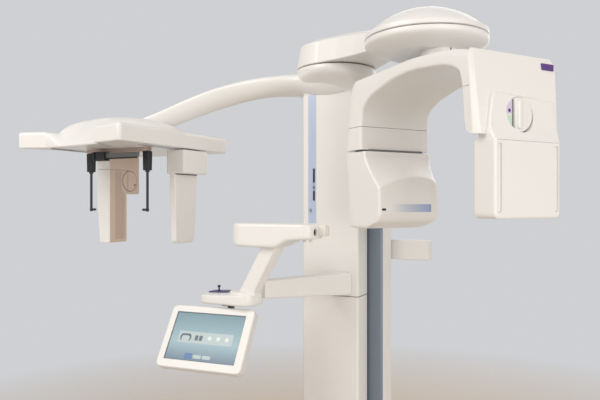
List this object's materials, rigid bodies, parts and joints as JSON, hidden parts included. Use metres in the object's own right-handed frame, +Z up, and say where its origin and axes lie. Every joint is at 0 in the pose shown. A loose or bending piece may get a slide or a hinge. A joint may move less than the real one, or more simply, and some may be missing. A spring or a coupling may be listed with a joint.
{
  "type": "dental x-ray ct scanner",
  "caption": "Wall-side dental x-ray ct scanner: lifting column, jointed C-arm with tube head and sensor, patient table, touch screen and a ceph head on a long arm.",
  "frame": {"origin": "on the floor at the centre of the four floor bolts under the stationary column", "axes": "+Z up, +X along the wall to the side of the C-arm, +Y to the wall; the patient side is -Y"},
  "size_m": [1.9539, 0.8356, 2.013],
  "materials": {
    "white_plastic": "smooth white moulded plastic",
    "white_paint": "smooth white paint",
    "blue_plastic": "pale blue strip",
    "purple_plastic": "dark purple",
    "grey_plastic": "grey plastic",
    "dark_plastic": "black plastic",
    "anodised": "grey blue anodised profile",
    "cast_aluminium": "bare casting",
    "steel": "plain steel",
    "display": "flat display behind a cover sheet"
  },
  "bodies": {
    "stand": {"base_plate": "steel", "stationary_column": "anodised", "column_cap": "white_plastic", "wall_bracket": "white_paint", "lift_spindle": "steel", "guide_rails": "steel", "power_box": "steel"},
    "moving_column": {"lift_carriage": "cast_aluminium", "lift_motor": "dark_plastic", "column_frame": "cast_aluminium", "upper_cover": "white_plastic", "lower_cover": "white_plastic", "blue_strip": "blue_plastic", "ceph_arm": "white_paint", "shoulder_bearing": "steel", "support_arm": "white_paint", "lower_shell": "white_plastic", "control_pad": "purple_plastic", "support_strut": "white_paint", "chin_table": "white_plastic", "socket_block": "white_plastic", "ceph_board": "white_plastic", "ceph_dome": "white_plastic", "ceph_rails": "steel"},
    "up_button": {"up_button": "dark_plastic"},
    "down_button": {"down_button": "dark_plastic"},
    "key_switch": {"key_switch": "steel"},
    "joystick": {"joystick": "purple_plastic"},
    "screen_swivel": {"screen_pivot": "dark_plastic", "screen_yoke": "dark_plastic"},
    "touch_screen": {"screen_housing": "white_plastic", "screen_display": "display"},
    "ceph_sensor": {"sensor_adapter": "white_plastic", "ceph_cassette": "white_plastic"},
    "ceph_knob": {"ceph_lock_knob": "white_plastic"},
    "ceph_collimator": {"collimator_carriage": "white_plastic", "collimator_plate": "white_plastic"},
    "ear_carrier": {"ear_carrier": "grey_plastic", "nasal_block": "dark_plastic"},
    "ear_post_left": {"ear_holder_left": "dark_plastic", "ear_rod_left": "dark_plastic"},
    "ear_post_right": {"ear_holder_right": "dark_plastic", "ear_rod_right": "dark_plastic"},
    "nasal_bar": {"nasal_bar": "grey_plastic"},
    "shoulder_link": {"link_base": "cast_aluminium", "link_cover": "white_plastic", "dome_cap": "white_plastic"},
    "elbow": {"elbow_bowl": "white_paint", "elbow_bearing": "steel"},
    "c_arm": {"carm_bearing": "steel", "carm_outer_cover": "white_plastic", "carm_inner_cover": "white_plastic", "carm_frame": "cast_aluminium", "tube_housing": "white_plastic", "tube_insert": "steel", "beam_collimator": "steel", "sensor_arm_cover": "white_plastic", "sensor_housing": "white_plastic", "detector_panel": "dark_plastic"},
    "sensor_knob": {"sensor_lock_knob": "white_plastic"}
  },
  "joints": [
    {"name": "column_lift", "type": "slide", "parent": "stand", "child": "moving_column", "axis": [0, 0, 1], "range_m": [-0.4, 0.42]},
    {"name": "up_press", "type": "slide", "parent": "moving_column", "child": "up_button", "axis": [0, 1, 0], "range_m": [0, 0.0018], "stiffness_N_per_m": 400},
    {"name": "down_press", "type": "slide", "parent": "moving_column", "child": "down_button", "axis": [0, 1, 0], "range_m": [0, 0.0018], "stiffness_N_per_m": 400},
    {"name": "key_turn", "type": "hinge", "parent": "moving_column", "child": "key_switch", "pos_m": [-0.08, -0.172, 1.373], "axis": [0, 1, 0], "range_deg": [0, 90]},
    {"name": "joystick_tilt", "type": "hinge", "parent": "moving_column", "child": "joystick", "pos_m": [-0.296, -0.47, 1.097], "axis": [1, 0, 0], "range_deg": [-8, 8], "stiffness_Nm_per_rad": 0.2},
    {"name": "screen_swivel", "type": "hinge", "parent": "moving_column", "child": "screen_swivel", "pos_m": [-0.236, -0.485, 1.047], "axis": [0, 0, 1], "range_deg": [-50, 50]},
    {"name": "screen_tilt", "type": "hinge", "parent": "screen_swivel", "child": "touch_screen", "pos_m": [-0.23259, -0.52748, 0.98374], "axis": [0.9959, 0.0906, 0], "range_deg": [-10, 20]},
    {"name": "ceph_sensor_slide", "type": "slide", "parent": "moving_column", "child": "ceph_sensor", "axis": [0, -1, 0], "range_m": [0, 0.28]},
    {"name": "ceph_collimator_slide", "type": "slide", "parent": "moving_column", "child": "ceph_collimator", "axis": [0, -1, 0], "range_m": [0, 0.21]},
    {"name": "ceph_knob_turn", "type": "hinge", "parent": "ceph_sensor", "child": "ceph_knob", "pos_m": [-0.965, -0.184, 1.497], "axis": [1, 0, 0], "range_deg": [0, 90]},
    {"name": "ear_carrier_turn", "type": "hinge", "parent": "moving_column", "child": "ear_carrier", "pos_m": [-0.794, -0.436, 1.606], "axis": [0, 0, 1], "range_deg": [0, 90]},
    {"name": "ear_left_slide", "type": "slide", "parent": "ear_carrier", "child": "ear_post_left", "axis": [1, 0, 0], "range_m": [0, 0.08]},
    {"name": "ear_right_slide", "type": "slide", "parent": "ear_carrier", "child": "ear_post_right", "axis": [-1, 0, 0], "range_m": [0, 0.08]},
    {"name": "nasal_fold", "type": "hinge", "parent": "ear_carrier", "child": "nasal_bar", "pos_m": [-0.84, -0.478, 1.5854], "axis": [0, 1, 0], "range_deg": [0, 90]},
    {"name": "shoulder_turn", "type": "hinge", "parent": "moving_column", "child": "shoulder_link", "pos_m": [0, -0.112, 1.909], "axis": [0, 0, 1], "range_deg": [-14, 20]},
    {"name": "elbow_turn", "type": "hinge", "parent": "shoulder_link", "child": "elbow", "pos_m": [0.41907, -0.38104, 1.909], "axis": [0, 0, 1], "range_deg": [-20, 25]},
    {"name": "c_arm_turn", "type": "hinge", "parent": "elbow", "child": "c_arm", "pos_m": [0.47975, -0.42512, 1.82], "axis": [0, 0, 1], "range_deg": [-200, 12]},
    {"name": "sensor_knob_turn", "type": "hinge", "parent": "c_arm", "child": "sensor_knob", "pos_m": [0.7176, -0.59793, 1.628], "axis": [0.809, -0.5878, 0], "range_deg": [0, 90]}
  ],
  "couplings": [
    {"joint": "ceph_collimator_slide", "follows": "ceph_sensor_slide", "ratio": 0.75},
    {"joint": "ear_right_slide", "follows": "ear_left_slide", "ratio": 1}
  ]
}
